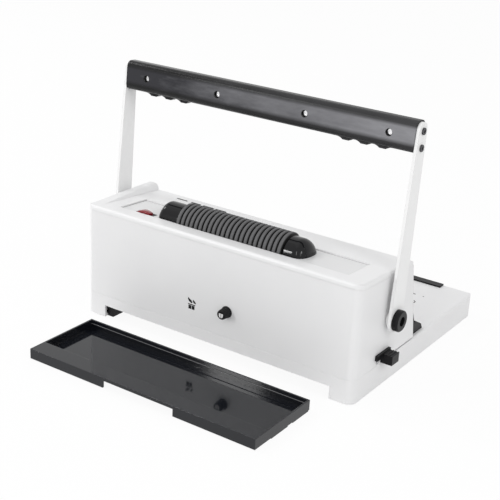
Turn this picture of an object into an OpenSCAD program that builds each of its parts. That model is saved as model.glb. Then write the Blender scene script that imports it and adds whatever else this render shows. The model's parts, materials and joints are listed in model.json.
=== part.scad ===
// Coil binding machine: a hand punch with a powered coil roller on its top and a
// chip tray that pulls out of the back. X runs along the machine, Y runs from the
// paper table at the front towards the back, Z is up, and the table stands at z = 0.

/* [Base] */
// Width of the base and of the punch housing
body_w = 370; // [360:1:390]
// Depth of the base with its paper table
base_d = 300; // [285:1:320]
// Height of the paper table
base_h = 29.3; // [28.5:0.1:30.5]
// Radius of the upright corners
corner_r = 10; // [6:1:12]
// Wall thickness of the mouldings
wall = 3; // [2.6:0.1:3.4]

/* [Housing] */
// Depth of the housing at its foot
house_d = 135.3; // [133:0.1:138]
// Depth of the housing at its top
house_top_d = 115; // [113:0.1:118]
// Height of the housing's back edge
house_h = 139; // [137:0.5:142]
// Height lost from the back edge to the front edge of the top
house_fall = 7; // [5:0.5:9]
// Height of the paper slot over the table
slot_h = 2.5; // [2.2:0.1:3]

/* [Handle] */
// Length of the arms from the pivot to the tip
arm_len = 215; // [205:1:225]
// Thickness of the arms
arm_t = 3.5; // [3:0.1:4]
// Gap between the housing and an arm
arm_gap = 5; // [4:0.1:6]
// Lean of the handle at rest in degrees
arm_lean = 4.7; // [3:0.1:6]
// Travel of the handle in degrees
handle_travel = 72; // [60:1:75]
// Height of the grip's section
grip_h = 34; // [32:0.5:36]
// Thickness of the grip's section
grip_t = 20; // [19:0.5:22]

/* [Punch] */
// Number of holes
pins = 46; // [40:1:46]
// Distance from hole to hole
pitch = 6.35; // [6:0.05:6.35]
// Diameter of a hole
pin_d = 4; // [3.5:0.1:4.2]
// Stroke of the punch beam
stroke = 12; // [11:0.1:12.5]

/* [Roller] */
// Number of rubber rings
rings = 23; // [18:1:23]
// Distance from ring to ring
ring_pitch = 6.2; // [5.8:0.1:6.3]
// Diameter over the rings
roller_d = 46; // [44:0.5:46]

/* [Tray] */
// Length of the chip tray
tray_w = 302; // [290:1:303]
// Depth of the chip tray
tray_d = 100.4; // [96:0.1:104]
// Height of the chip tray
tray_h = 12.9; // [12:0.1:13.5]
// Gap between the tray and the back of the machine
tray_gap = 33.8; // [20:0.1:60]

/* [Hidden] */
$fn = 64;

// Overrun of every cut
over = 1;
// Gap between pieces that don't touch
gap = 0.3;
// Radial clearance of a shaft in its bore
run_fit = 0.05;
// Straight steps in a rounded corner of an outline
arc_steps = 8;
// Straight steps in a round end of an arm or of the belt
link_steps = 24;

// Places: every depth is counted forwards from the back of the machine
front_y = -(base_d + tray_gap + tray_d) / 2;
rear_y = front_y + base_d;
side_x = body_w / 2;
function at(depth) = rear_y - depth;

// Base
foot_h = 1;
foot_r = 8;
foot_in = 14;
foot_stem_r = 3;
base_edge_r = 3;
under_edge_r = 1;
ledge_w = 24;
bay_h = 15.6;
bay_margin = 6;
bay_w = tray_w + 2 * bay_margin;
plate_t = 1.5;
boss_r = 5;
deck_d = 94.5;
bay_d = 101.2;
table_rim = 8;
boss_in_x = 60;
boss_in_y = 30;

// Housing and its cover
top_slope = atan(house_fall / house_top_d);
cover_h = 6;
plate_top = 3;
shoulder_r = 7;
cover_edge_r = 3;
slot_d = 80;
pivot_in = 69.3;
pivot_z = 79.2;
shaft_r = 6;
shaft_hole_r = 8;
front_rake = (house_d - house_top_d) / (house_h - house_fall - base_h);

cover_d = house_top_d / cos(top_slope);

// Roller on the top, with the pocket in the cover that it lies in
roller_in = 43;
roller_z = 132;
roller_x = -1.25;
roller_r = roller_d / 2;
sleeve_l = rings * ring_pitch;
sleeve_left = roller_x + sleeve_l / 2;
sleeve_right = roller_x - sleeve_l / 2;
groove_deep = 2.6;
ring_round = 0.8;
ring_share = 0.68;
core_r = 16;
spindle_r = 4;
slot_clear = 0.5;
rim_w = roller_in - roller_r - slot_clear;
pocket_deep = 1.5;
pocket_d = roller_d + 2 * slot_clear;
pocket_left_x = 150;
pocket_right_x = 158;
end_left_l = 31;
end_right_l = 27.5;
end_r = 19;
dome_left_l = 9;
dome_right_l = 17;
dome_steps = 16;
end_wall = 2.2;
bush_r = 6.4;
bush_t = 3;
pulley_w = 8;
roller_pulley_r = 11;
motor_pulley_r = 7;
pulley_in = 12;
flange_t = 1;
flange_h = 1.5;

// Raised lip at the left end of the cover
cheek_w = 18;
cheek_h = 8.5;
cheek_r = 8;
cheek_front_r = 2.5;
cheek_back = 4;

// Motor under the roller
motor_in = 33;
motor_z = 88;
motor_r = 18;
motor_l = 64;
motor_boss_r = 6;
motor_boss_l = 3;
motor_shaft_r = 2.5;
bracket_t = 2;
bracket_w = 30;
belt_t = 1.2;
belt_w = 5.5;
motor_x = sleeve_left + end_left_l - pulley_in - pulley_w - motor_boss_l - bracket_t;
pulley_x = motor_x + bracket_t + motor_boss_l;

// Frames that carry the punch
frame_x = 163;
frame_t = 4;
frame_front = 98;
frame_back = 18;
frame_top = 122;
frame_nose_z = 60;
flange_z = 4;
row_in = 84;
die_t = 8;
die_w = 20;
guide_t = 8;
post_x = 155.5;
post_in = 79;
post_r = 4;
post_top = 74;
beam_z = 53;
beam_h = 15;
beam_back = 22;
spring_r = 5.4;
spring_wire_r = 0.6;
spring_turns = 6;
spring_steps = 14;
spring_hole_r = 7;
pin_tip = 0.8;
pin_seat = 7;
cam_x = 130;
cam_w = 12;
cam_hub_r = 11;
cam_steps = 14;
cam_low = 14;
cam_rate = stroke / (handle_travel * PI / 180);
cam_start = pivot_z - beam_z - beam_h - gap / 2;
bush_flange_r = 12;
bush_outer_r = 9;
bush_flange_t = 1;
frame_screw_in = 89.5;
screw_r = 2.5;
screw_head_r = 4.5;
screw_head_t = 3;
screw_reach = 9;
socket_r = 1.6;
socket_deep = 1.6;
shelf_z = 60;
shelf_t = 2;
shelf_front = 52;
shelf_back = 17;
shelf_lip = 8;

// Handle
arm_root_r = 14;
arm_tip_r = 8.8;
arm_in = side_x + arm_gap;
arm_out = arm_in + arm_t;
hub_r = 9;
cap_r = 12;
cap_l = 7;
cap_edge = 1.2;
cap_recess_r = 5.5;
cap_recess = 3.5;
grip_down = 15.5;
grip_mid = arm_len - grip_down;
grip_r = 7;
core_h = 28;
core_t = 9;
bump_deep = 2.6;
bump_pitch = 22;
bump_first = 108;
bump_r = 11.3;
grip_screw_x_shares = [-0.842, -0.305, 0.305, 0.842];
grip_screw_r = 2;
grip_head_r = 3;
grip_head_t = 1.6;
grip_recess_r = 3.8;
grip_recess = 4.5;
arm_screw_down = [9.3, 26.9];
arm_head_r = 3.8;
arm_head_t = 1.6;
arm_screw_l = 14;

// Switch, speed knob, inlet and board
switch_x = 116.5;
switch_in = 25.3;
switch_l = 25;
switch_w = 10.4;
bezel_t = 0.5;
bezel_w = 0.6;
switch_wall = 0.8;
rocker_pivot = 2.2;
rocker_pin_r = 1.2;
rocker_end_gap = 0.8;
switch_body_h = 15;
rocker_h = 6.5;
rocker_tilt = 6;
speed_x = -21;
speed_z = 61;
knob_r = 6.9;
knob_tip_r = 5.9;
knob_l = 11;
spindle_thin_r = 3;
pot_r = 8;
pot_l = 10;
collar_r = 4.5;
collar_l = 4;
knob_bore_l = 8;
inlet_in = 25;
inlet_z = 48;
inlet_l = 31;
inlet_h = 24;
inlet_deep = 17;
inlet_lip = 1.5;
socket_l = 23;
socket_h = 16;
socket_hole = 13;
blade_w = 4;
blade_t = 2;
blade_l = 11;
board_l = 62;
board_w = 26;
board_t = 1.6;
board_x = -92;
standoff_r = 2.5;
standoff_l = 5;
part_h = 12;
part_r = 6;

// Depth gauge and edge guide
gauge_in = 64.5;
gauge_z = 36;
gauge_travel = 1.5;
gauge_plate_l = 30;
gauge_plate_in = 59;
gauge_plate_z = 40.2;
gauge_plate_h = 6;
gauge_plate_t = 3;
gauge_knob_l = 15.5;
gauge_knob_h = 10.6;
gauge_knob_x = 199.5;
gauge_rib_r = 0.7;
gauge_ribs = 4;
gauge_shank = 6;
gauge_screw_in = 49.7;
gauge_screw_z = 33;
gauge_screw_r = 1.5;
gauge_screw_head_r = 2.2;
gauge_screw_head_t = 1.2;
stop_t = 1.7;
stop_lip = 9.5;
stop_w = 19;
stop_gap = 4.5;
stop_l = 2 * (post_x - spring_r - spring_wire_r - stop_gap);
ear_t = 3;
guide_in = 157.5;
guide_margin = 5;
guide_l = 17;
guide_w = 21;
guide_nose = 4;
guide_low = 7;
guide_high = 16.5;
fin_t = 3;
fin_w = 8.5;
fin_gap = 1.2;
fin_z = 60;
key_w = 3;
key_d = 1.6;
guide_travel = 12;
strip_l = 290;
strip_w = 11;
strip_t = 2;
strip_in = 1.5;

// Tray
tray_x = -3;
tray_t = 2;
tray_ledge = 22;
tray_cut_w = 94;
tray_cut_x = -2;
tray_cut_h = 9.5;
tray_foot_h = 1;
tray_foot_l = 30;
tray_foot_w = 5;
tray_foot_in = 29.2;
rail_gap = 0.4;
rail_t = 2;
rail_left_h = 13.2;
rail_right_h = 5;
rail_foot = 4;

function unit(v) = v / norm(v);
function turned(v, a) = [v[0] * cos(a) - v[1] * sin(a), v[0] * sin(a) + v[1] * cos(a)];

// Points that round the corner b between a and c with radius r
function corner(a, b, c, r) = r == 0 ? [b] :
    let (u = unit(a - b), v = unit(c - b), half = acos(u * v) / 2,
        mid = b + unit(u + v) * r / sin(half), from = b + u * r / tan(half) - mid,
        to = b + v * r / tan(half) - mid, way = sign(from[0] * to[1] - from[1] * to[0]),
        sweep = 180 - 2 * half)
    [for (i = [0:arc_steps]) mid + turned(from, way * sweep * i / arc_steps)];

// Closed outline with each corner rounded by its own radius
function rounded(pts, radii) = let (n = len(pts))
    [for (i = [0:n - 1]) each corner(pts[(i + n - 1) % n], pts[i], pts[(i + 1) % n], radii[i])];

function box_points(x0, y0, x1, y1) = [[x0, y0], [x1, y0], [x1, y1], [x0, y1]];

// Rectangle from corner to corner with the same radius all round
module plate2d(x0, y0, x1, y1, r) {
    polygon(rounded(box_points(x0, y0, x1, y1), [r, r, r, r]));
}

// Box from corner to corner
module span(a, b) {
    translate(a) cube(b - a);
}

// Outline in Y and Z drawn along X from x0 to x1
module along_x(x0, x1) {
    translate([x0, 0, 0]) rotate([90, 0, 90]) linear_extrude(x1 - x0) children();
}

// Outline in X and Z drawn along Y from y0 to y1
module along_y(y0, y1) {
    translate([0, y1, 0]) rotate([90, 0, 0]) linear_extrude(y1 - y0) children();
}

// Round bar along X, Y or Z
module bar_x(r, x0, x1) {
    translate([x0, 0, 0]) rotate([0, 90, 0]) cylinder(r = r, h = x1 - x0);
}
module bar_y(r, y0, y1) {
    translate([0, y0, 0]) rotate([-90, 0, 0]) cylinder(r = r, h = y1 - y0);
}
module bar_z(r, z0, z1) {
    translate([0, 0, z0]) cylinder(r = r, h = z1 - z0);
}

function arc_points(c, r, a0, a1) = [for (i = [0:link_steps])
    let (a = a0 + (a1 - a0) * i / link_steps) c + [r * cos(a), r * sin(a)]];

// Plate with round ends of two radii, a distance l apart along Y, and straight sides
module link2d(r0, r1, l) {
    s = asin((r0 - r1) / l);
    polygon(concat(arc_points([0, l], r1, s, 180 - s), arc_points([0, 0], r0, 180 - s, 360 + s)));
}

module both_sides() {
    children();
    mirror([1, 0, 0]) children();
}

// Frame of the sloping cover: origin on the back edge of its top, Y forwards down the slope
module on_cover() {
    translate([0, rear_y, house_h]) rotate([0, 0, 180]) rotate([-top_slope, 0, 0]) children();
}

// Frame of the handle: origin on the pivot, Z up the arms
module on_handle() {
    translate([0, at(pivot_in), pivot_z]) rotate([arm_lean, 0, 0]) children();
}

// Base and tray
module base_shell() {
    color("gainsboro") difference() {
        intersection() {
            translate([0, 0, foot_h]) linear_extrude(base_h - foot_h)
                plate2d(-side_x, front_y, side_x, rear_y, corner_r);
            along_x(-side_x, side_x) polygon(rounded(
                box_points(front_y, 0, rear_y, base_h), [0, 0, under_edge_r, base_edge_r]));
            union() {
                base_edges(front_y, at(house_d), base_edge_r);
                base_edges(at(house_d), rear_y, under_edge_r);
            }
        }
        difference() {
            translate([0, 0, foot_h + wall]) linear_extrude(base_h - wall - foot_h - wall)
                plate2d(-side_x + wall, front_y + wall, side_x - wall, rear_y - wall,
                    corner_r - wall);
            base_bosses();
        }
        span([-side_x + ledge_w, front_y + ledge_w, -over],
            [side_x - ledge_w, at(bay_d) - table_rim, foot_h + wall + over]);
        span([-bay_w / 2, at(bay_d), -over], [bay_w / 2, rear_y - wall - over,
            foot_h + wall + over]);
        span([-bay_w / 2, rear_y - wall - over - over, -over],
            [bay_w / 2, rear_y + over, bay_h]);
        span([-side_x + table_rim + wall, at(deck_d), base_h - wall - over],
            [side_x - table_rim - wall, rear_y - table_rim - wall, base_h + over]);
        guide_groove();
        both_sides() foot_places() bar_z(foot_stem_r, 0, foot_h + wall + over);
    }
}

// Stretch of the base from y0 to y1 with the long edges of its top rounded
module base_edges(y0, y1, r) {
    along_y(y0, y1) polygon(rounded(box_points(-side_x, 0, side_x, base_h), [0, 0, r, r]));
}

module base_bosses() {
    for (x = [-side_x + boss_in_x, side_x - boss_in_x],
            y = [front_y + boss_in_y, at(deck_d) - boss_in_y])
        translate([x, y, 0]) bar_z(boss_r, foot_h + wall + plate_t, base_h);
}

module guide_groove() {
    span([-side_x + guide_margin + fin_t - gap, at(guide_in) - key_w / 2 - gap,
        base_h - key_d - gap], [-side_x + guide_margin + guide_l + guide_travel + gap,
            at(guide_in) + key_w / 2 + gap, base_h + over]);
}

module foot_places() {
    for (y = [front_y + foot_in, rear_y - foot_in])
        translate([side_x - foot_in, y, 0]) children();
}

module bottom_plate() {
    color("dimgray") span([-side_x + ledge_w - wall, front_y + ledge_w - wall, foot_h + wall],
        [side_x - ledge_w + wall, at(bay_d) - table_rim + wall, foot_h + wall + plate_t]);
}

module rubber_feet() {
    color("black") both_sides() foot_places() {
        bar_z(foot_r, 0, foot_h);
        bar_z(foot_stem_r - run_fit, 0, foot_h + wall);
    }
}

// Guide of the tray between the side of the bay and the tray
module tray_guide(w, h) {
    y0 = at(deck_d) + over;
    y1 = rear_y - wall - over - over;
    span([bay_w / 2 - w, y0, foot_h], [bay_w / 2, y1, foot_h + h]);
    span([bay_w / 2, y0, foot_h + wall], [bay_w / 2 + rail_foot, y1, foot_h + wall + rail_t]);
}

module tray_guides() {
    color("black") {
        tray_guide(bay_w / 2 - tray_w / 2 - tray_x - rail_gap, rail_left_h);
        mirror([1, 0, 0]) tray_guide(bay_w / 2 - tray_w / 2 + tray_x - rail_gap, rail_right_h);
    }
}

module chip_tray() {
    x0 = tray_x - tray_w / 2;
    x1 = tray_x + tray_w / 2;
    y0 = rear_y + tray_gap;
    y1 = y0 + tray_d;
    cut_x = tray_x + tray_cut_x;
    color("black") {
        difference() {
            span([x0, y0, tray_foot_h], [x1, y1, tray_h]);
            span([x0 + tray_t, y0 + tray_t, tray_foot_h + tray_t],
                [x1 - tray_t, y1 - tray_ledge, tray_h + over]);
            span([x0 + tray_t, y1 - tray_ledge + tray_t, -over],
                [x1 - tray_t, y1 - tray_t, tray_h - tray_t]);
            span([cut_x - tray_cut_w / 2, y1 - tray_t - over, -over],
                [cut_x + tray_cut_w / 2, y1 + over, tray_cut_h]);
        }
        for (x = [x0, x1 - tray_foot_w], y = [y1 - tray_foot_in - tray_foot_l, y0 + tray_t])
            span([x, y, 0], [x + tray_foot_w, y + tray_foot_l, tray_foot_h]);
    }
}

// Housing
module house_side(inset) {
    polygon(rounded([[rear_y - inset, 0], [at(house_d) + inset - front_rake * base_h, 0],
        [at(house_top_d) + inset, house_h - house_fall], [rear_y - inset, house_h]],
        [0, 0, 0, 0]));
}

module house_block(inset, z0) {
    intersection() {
        along_x(-side_x + inset, side_x - inset) house_side(inset);
        translate([0, 0, z0]) linear_extrude(house_h) polygon(rounded(
            box_points(-side_x + inset, at(house_d) - over, side_x - inset, rear_y - inset),
            [0, 0, corner_r - inset, corner_r - inset]));
    }
}

module housing() {
    color("gainsboro") difference() {
        house_block(0, base_h);
        house_block(wall, base_h - over);
        on_cover() span([-body_w, -house_d, -cover_h], [body_w, house_d + house_d, cover_h]);
        span([-body_w, at(house_d) - over, 0], [body_w, at(slot_d), base_h + slot_h]);
        translate([0, at(pivot_in), pivot_z])
            bar_x(shaft_hole_r, -side_x - over, side_x + over);
        translate([speed_x, 0, speed_z]) bar_y(collar_r + gap, rear_y - wall - over,
            rear_y + over);
        gauge_slot(-side_x - over, -side_x + wall + over);
        gauge_screw_place() bar_x(gauge_screw_r, -side_x - over, -side_x + wall + over);
        inlet_place() span([-inlet_deep, -inlet_l / 2 + inlet_lip, -inlet_h / 2 + inlet_lip],
            [over, inlet_l / 2 - inlet_lip, inlet_h / 2 - inlet_lip]);
    }
}

// Opening that the depth gauge's shank travels in
module gauge_slot(x0, x1) {
    half = gauge_shank / 2 + gap;
    along_x(x0, x1) plate2d(at(gauge_in) - half - gauge_travel, gauge_z - half,
        at(gauge_in) + half + gauge_travel, gauge_z + half, gap);
}

module cover_plan(inset) {
    polygon(rounded(box_points(-side_x + inset, inset, side_x - inset, cover_d - inset),
        [corner_r - inset, corner_r - inset, 0, 0]));
}

module pocket_plan(grow) {
    translate([-pocket_left_x - grow, rim_w - grow])
        square([pocket_left_x + pocket_right_x + 2 * grow, pocket_d + 2 * grow]);
}

// The cover is drawn with its left end at negative X, because its frame looks forwards
module top_cover() {
    color("gainsboro") difference() {
        union() {
            on_cover() difference() {
                intersection() {
                    translate([0, 0, -cover_h]) linear_extrude(cover_h) cover_plan(0);
                    along_y(0, cover_d) polygon(rounded(
                        box_points(-side_x, -cover_h, side_x, 0),
                        [0, 0, cover_edge_r, cover_edge_r]));
                    along_x(-side_x, side_x) polygon(rounded(
                        [[0, -cover_h], [cover_d + front_rake * cover_h, -cover_h],
                            [cover_d, 0], [0, 0]], [0, 0, shoulder_r, cover_edge_r]));
                }
                difference() {
                    translate([0, 0, -cover_h - over])
                        linear_extrude(cover_h - plate_top + over) cover_plan(wall + over);
                    translate([0, 0, -cover_h]) linear_extrude(cover_h) pocket_plan(wall);
                }
            }
            cheek();
        }
        on_cover() {
            translate([0, 0, -pocket_deep]) linear_extrude(cover_h) pocket_plan(0);
            translate([-switch_x, switch_in, 0]) span(
                [-switch_l / 2 + bezel_w, -switch_w / 2 + bezel_w, -cover_h - over],
                [switch_l / 2 - bezel_w, switch_w / 2 - bezel_w, over]);
        }
        lid_opening(sleeve_right - over, sleeve_left + over, roller_r + slot_clear);
        lid_opening(sleeve_left, sleeve_left + end_left_l - pulley_in + over,
            end_r - end_wall);
        lid_opening(sleeve_right - bush_t - 2 * gap, sleeve_right, end_r - end_wall);
    }
}

// Opening through the cover from x0 to x1 under the roller
module lid_opening(x0, x1, half) {
    span([x0, at(roller_in) - half, house_h - roller_r],
        [x1, at(roller_in) + half, house_h + roller_r]);
}

// Raised lip at the left end, level on top while the cover falls away under it
module cheek() {
    reach = cover_d - cheek_back;
    translate([side_x - cheek_w, 0, 0]) intersection() {
        along_x(0, cheek_w) polygon(rounded([[at(reach), house_h - house_fall - over],
            [rear_y - shoulder_r, house_h - over - over], [rear_y - shoulder_r, house_h - over],
            [at(reach), house_h - house_fall + cheek_h]], [0, 0, 0, cheek_front_r]));
        along_y(at(reach), rear_y) polygon(rounded([[0, 0], [cheek_w, 0],
            [cheek_w, house_h - house_fall + cheek_h],
            [0, house_h - house_fall + cheek_h]], [0, 0, cheek_r, cheek_r]));
    }
}

// Frames, dies and beam
module side_frames() {
    z0 = foot_h + wall;
    color("dimgray") both_sides() difference() {
        along_x(frame_x, frame_x + frame_t) polygon([[at(frame_back), z0],
            [at(frame_back), frame_top], [at(pivot_in) - bush_flange_r - wall, frame_top],
            [at(frame_front), frame_nose_z], [at(frame_front), base_h + slot_h],
            [at(slot_d), base_h + slot_h], [at(slot_d), base_h],
            [at(row_in) - die_w / 2, base_h],
            [at(row_in) - die_w / 2, z0]]);
        translate([0, at(pivot_in), pivot_z])
            bar_x(bush_outer_r, frame_x - over, frame_x + frame_t + over);
        frame_screw_places() bar_x(screw_r + run_fit, frame_x - over, frame_x + frame_t + over);
        gauge_slot(frame_x - over, frame_x + frame_t + over);
    }
}

module frame_screw_places() {
    for (z = [base_h - die_t / 2, base_h + slot_h + guide_t / 2])
        translate([0, at(frame_screw_in), z]) children();
}

module frame_screws() {
    color("silver") both_sides() frame_screw_places() difference() {
        union() {
            bar_x(screw_r, frame_x - screw_reach, frame_x + frame_t);
            bar_x(screw_head_r, frame_x + frame_t, frame_x + frame_t + screw_head_t);
        }
        bar_x(socket_r, frame_x + frame_t + screw_head_t - socket_deep,
            frame_x + frame_t + screw_head_t + over);
    }
}

module pin_row() {
    for (i = [0:pins - 1])
        translate([(i - (pins - 1) / 2) * pitch, at(row_in), 0]) children();
}

// Steel plate between the frames with the row of holes, bored for the posts or springs
module punch_plate(z0, t, end_r) {
    difference() {
        span([-frame_x, at(row_in) - die_w / 2, z0], [frame_x, at(row_in) + die_w / 2, z0 + t]);
        pin_row() bar_z(pin_d / 2 + run_fit, z0 - over, z0 + t + over);
        both_sides() {
            translate([post_x, at(post_in), 0]) bar_z(end_r, z0 - over, z0 + t + over);
            frame_screw_places() bar_x(screw_r + run_fit, frame_x - screw_reach - over,
                frame_x + over);
        }
    }
}

module die_plate() {
    color("silver") punch_plate(base_h - die_t, die_t, post_r);
}

module pin_guide() {
    color("silver") punch_plate(base_h + slot_h, guide_t, spring_hole_r);
}

module guide_posts() {
    color("gray") both_sides() translate([post_x, at(post_in), 0])
        bar_z(post_r, base_h - die_t, post_top);
}

// Points of a ring of the spring's wire, an angle a round the coil
function wire_ring(a, z, sides) = [for (k = [0:sides - 1])
    let (r = spring_r + spring_wire_r * cos(k * 360 / sides))
    [r * cos(a), r * sin(a), z + spring_wire_r * sin(k * 360 / sides)]];

// One unbroken wire with a closed turn at each end
module coil_spring(l) {
    sides = 6;
    n = spring_turns * spring_steps;
    closed = (2 * spring_wire_r + gap / 2) / spring_steps;
    open = (l - 2 * spring_wire_r - 2 * spring_steps * closed) / (n - 2 * spring_steps);
    pts = [for (i = [0:n]) each wire_ring(i * 360 / spring_steps, spring_wire_r
        + closed * (min(i, spring_steps) + max(i - n + spring_steps, 0))
        + open * min(max(i - spring_steps, 0), n - 2 * spring_steps), sides)];
    polyhedron(pts, concat([[for (k = [0:sides - 1]) k]],
        [[for (k = [0:sides - 1]) n * sides + sides - 1 - k]],
        [for (i = [0:n - 1], k = [0:sides - 1]) each
            [[i * sides + k, (i + 1) * sides + k, i * sides + (k + 1) % sides],
            [(i + 1) * sides + k, (i + 1) * sides + (k + 1) % sides,
                i * sides + (k + 1) % sides]]]));
}

module return_springs() {
    color("silver") both_sides() translate([post_x, at(post_in), base_h + gap / 2])
        coil_spring(beam_z - base_h - gap);
}

module punch_beam() {
    color("slategray") difference() {
        span([-frame_x + gap + over, at(row_in) - die_w / 2 + over, beam_z],
            [frame_x - gap - over, at(row_in) - die_w / 2 + beam_back, beam_z + beam_h]);
        pin_row() bar_z(pin_d / 2 + run_fit, beam_z - over, beam_z + pin_seat);
        both_sides() translate([post_x, at(post_in), 0])
            bar_z(post_r + run_fit, beam_z - over, beam_z + beam_h + over);
    }
}

module punch_pins() {
    color("silver") pin_row() bar_z(pin_d / 2, base_h + slot_h + pin_tip, beam_z + pin_seat);
}

// Shaft and cams
module pivot_shaft() {
    color("silver") translate([0, at(pivot_in), pivot_z]) bar_x(shaft_r, -arm_out, arm_out);
}

module shaft_bushes() {
    color("goldenrod") both_sides() translate([0, at(pivot_in), pivot_z]) difference() {
        union() {
            bar_x(bush_outer_r, frame_x, frame_x + frame_t);
            bar_x(bush_flange_r, frame_x - bush_flange_t, frame_x);
        }
        bar_x(shaft_r + run_fit, frame_x - bush_flange_t - over, frame_x + frame_t + over);
    }
}

// Outline of the lobe, which lowers a flat face by the same amount for every degree
function lobe(a) = let (h = cam_start + cam_rate * a * PI / 180)
    [-h * sin(a) - cam_rate * cos(a), -h * cos(a) + cam_rate * sin(a)];

module press_cams() {
    last = handle_travel + cam_low;
    color("slategray") both_sides() translate([0, at(pivot_in), pivot_z]) difference() {
        along_x(cam_x - cam_w / 2, cam_x + cam_w / 2) {
            circle(r = cam_hub_r);
            polygon(concat([for (i = [0:cam_steps])
                lobe(last * i / cam_steps - cam_low / 2)], [[0, cam_hub_r], [cam_hub_r, 0]]));
        }
        bar_x(shaft_r, cam_x - cam_w, cam_x + cam_w);
    }
}

// Handle
module handle_arm() {
    on_handle() difference() {
        union() {
            translate([arm_in, 0, 0]) rotate([90, 0, 90]) linear_extrude(arm_t)
                link2d(arm_root_r, arm_tip_r, arm_len - arm_tip_r);
            bar_x(hub_r, side_x + gap, arm_in);
        }
        bar_x(shaft_r, side_x, arm_out + over);
        arm_screw_places() bar_x(grip_screw_r + run_fit, arm_in - over, arm_out + over);
    }
}

module arm_screw_places() {
    for (d = arm_screw_down) translate([0, 0, arm_len - d]) children();
}

module handle_arm_left() {
    color("whitesmoke") handle_arm();
}

module handle_arm_right() {
    color("whitesmoke") mirror([1, 0, 0]) handle_arm();
}

module pivot_caps() {
    color("black") both_sides() on_handle() difference() {
        translate([arm_out, 0, 0]) rotate([0, 90, 0]) rotate_extrude() polygon([[0, 0],
            [cap_r, 0], [cap_r, cap_l - cap_edge], [cap_r - cap_edge, cap_l], [0, cap_l]]);
        bar_x(cap_recess_r, arm_out + cap_l - cap_recess, arm_out + cap_l + over);
    }
}

module grip_core() {
    color("silver") on_handle() difference() {
        span([-arm_in, -core_t / 2, grip_mid - core_h / 2],
            [arm_in, core_t / 2, grip_mid + core_h / 2]);
        both_sides() arm_screw_places() bar_x(grip_screw_r + run_fit, arm_in - arm_screw_l,
            arm_in + over);
        grip_screw_places() bar_y(grip_screw_r + run_fit, -core_t, core_t);
    }
}

module grip_screw_places() {
    for (s = grip_screw_x_shares) translate([s * arm_in, 0, grip_mid]) children();
}

// Section of the grip in depth and height
module grip_section() {
    translate([0, grip_mid]) plate2d(-grip_t / 2, -grip_h / 2, grip_t / 2, grip_h / 2, grip_r);
}

// Row of finger grooves under one end, left by the cusps between four round cuts
module finger_bumps() {
    low = grip_mid - grip_h / 2;
    x0 = bump_first - bump_pitch / 2;
    difference() {
        span([x0, -grip_t / 2 + grip_r - over, low - bump_deep],
            [x0 + 3 * bump_pitch, grip_t / 2 - grip_r + over, low + over]);
        for (i = [0:3]) translate([x0 + i * bump_pitch, 0, low - bump_r])
            bar_y(bump_r, -grip_t, grip_t);
    }
}

module grip_body() {
    difference() {
        union() {
            along_x(-arm_in + gap, arm_in - gap) grip_section();
            both_sides() finger_bumps();
        }
        span([-arm_in, -core_t / 2 - gap, grip_mid - core_h / 2 - gap],
            [arm_in, core_t / 2 + gap, grip_mid + core_h / 2 + gap]);
    }
}

module grip_rear_half() {
    color("black") on_handle() difference() {
        grip_body();
        span([-body_w, -grip_t, 0], [body_w, 0, arm_len + grip_h]);
        grip_screw_places() {
            bar_y(grip_screw_r + run_fit, 0, grip_t);
            bar_y(grip_recess_r, grip_t / 2 - grip_recess, grip_t);
        }
    }
}

module grip_front_half() {
    color("black") on_handle() difference() {
        grip_body();
        span([-body_w, 0, 0], [body_w, grip_t, arm_len + grip_h]);
        grip_screw_places() bar_y(grip_screw_r + run_fit, -grip_t / 2 + wall, grip_t);
    }
}

module grip_screws() {
    seat = grip_t / 2 - grip_recess;
    color("silver") on_handle() grip_screw_places() difference() {
        union() {
            bar_y(grip_screw_r, -grip_t / 2 + wall + gap, seat);
            bar_y(grip_head_r, seat, seat + grip_head_t);
        }
        bar_y(socket_r, seat + grip_head_t / 2, seat + grip_head_t + over);
    }
}

module arm_screws() {
    color("dimgray") both_sides() on_handle() arm_screw_places() difference() {
        union() {
            bar_x(grip_screw_r, arm_in - arm_screw_l + gap, arm_out);
            bar_x(arm_head_r, arm_out, arm_out + arm_head_t);
        }
        bar_x(socket_r, arm_out + arm_head_t / 2, arm_out + arm_head_t + over);
    }
}

// Drive of the roller
module equipment_shelf() {
    color("silver") {
        span([-frame_x, at(shelf_front), shelf_z], [frame_x, at(shelf_back), shelf_z + shelf_t]);
        both_sides() span([frame_x - shelf_t, at(shelf_front), shelf_z - shelf_lip],
            [frame_x, at(shelf_back), shelf_z]);
    }
}

module motor() {
    color("silver") translate([0, at(motor_in), motor_z]) {
        bar_x(motor_r, motor_x - motor_l, motor_x);
        bar_x(motor_boss_r, motor_x, motor_x + bracket_t + motor_boss_l / 2);
    }
}

module motor_bracket() {
    color("dimgray") translate([motor_x, 0, 0]) {
        difference() {
            span([0, at(motor_in) - bracket_w / 2, shelf_z + shelf_t],
                [bracket_t, at(motor_in) + bracket_w / 2, motor_z + motor_r]);
            translate([0, at(motor_in), motor_z])
                bar_x(motor_boss_r, -over, bracket_t + over);
        }
        span([bracket_t, at(motor_in) - bracket_w / 2, shelf_z + shelf_t],
            [bracket_w / 2, at(motor_in) + bracket_w / 2, shelf_z + shelf_t + bracket_t]);
    }
}

// Flanged pulley from x0 on, with a hub bore
module pulley(r, x0, bore_r) {
    difference() {
        union() {
            bar_x(r, x0, x0 + pulley_w);
            bar_x(r + flange_h, x0, x0 + flange_t);
            bar_x(r + flange_h, x0 + pulley_w - flange_t, x0 + pulley_w);
        }
        if (bore_r > 0) bar_x(bore_r, x0 - over, x0 + pulley_w + over);
    }
}

module motor_pulley() {
    color("goldenrod") translate([0, at(motor_in), motor_z]) {
        pulley(motor_pulley_r, pulley_x, 0);
        bar_x(motor_shaft_r, motor_x + bracket_t + motor_boss_l / 2 + gap / 2, pulley_x + over);
    }
}

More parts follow.
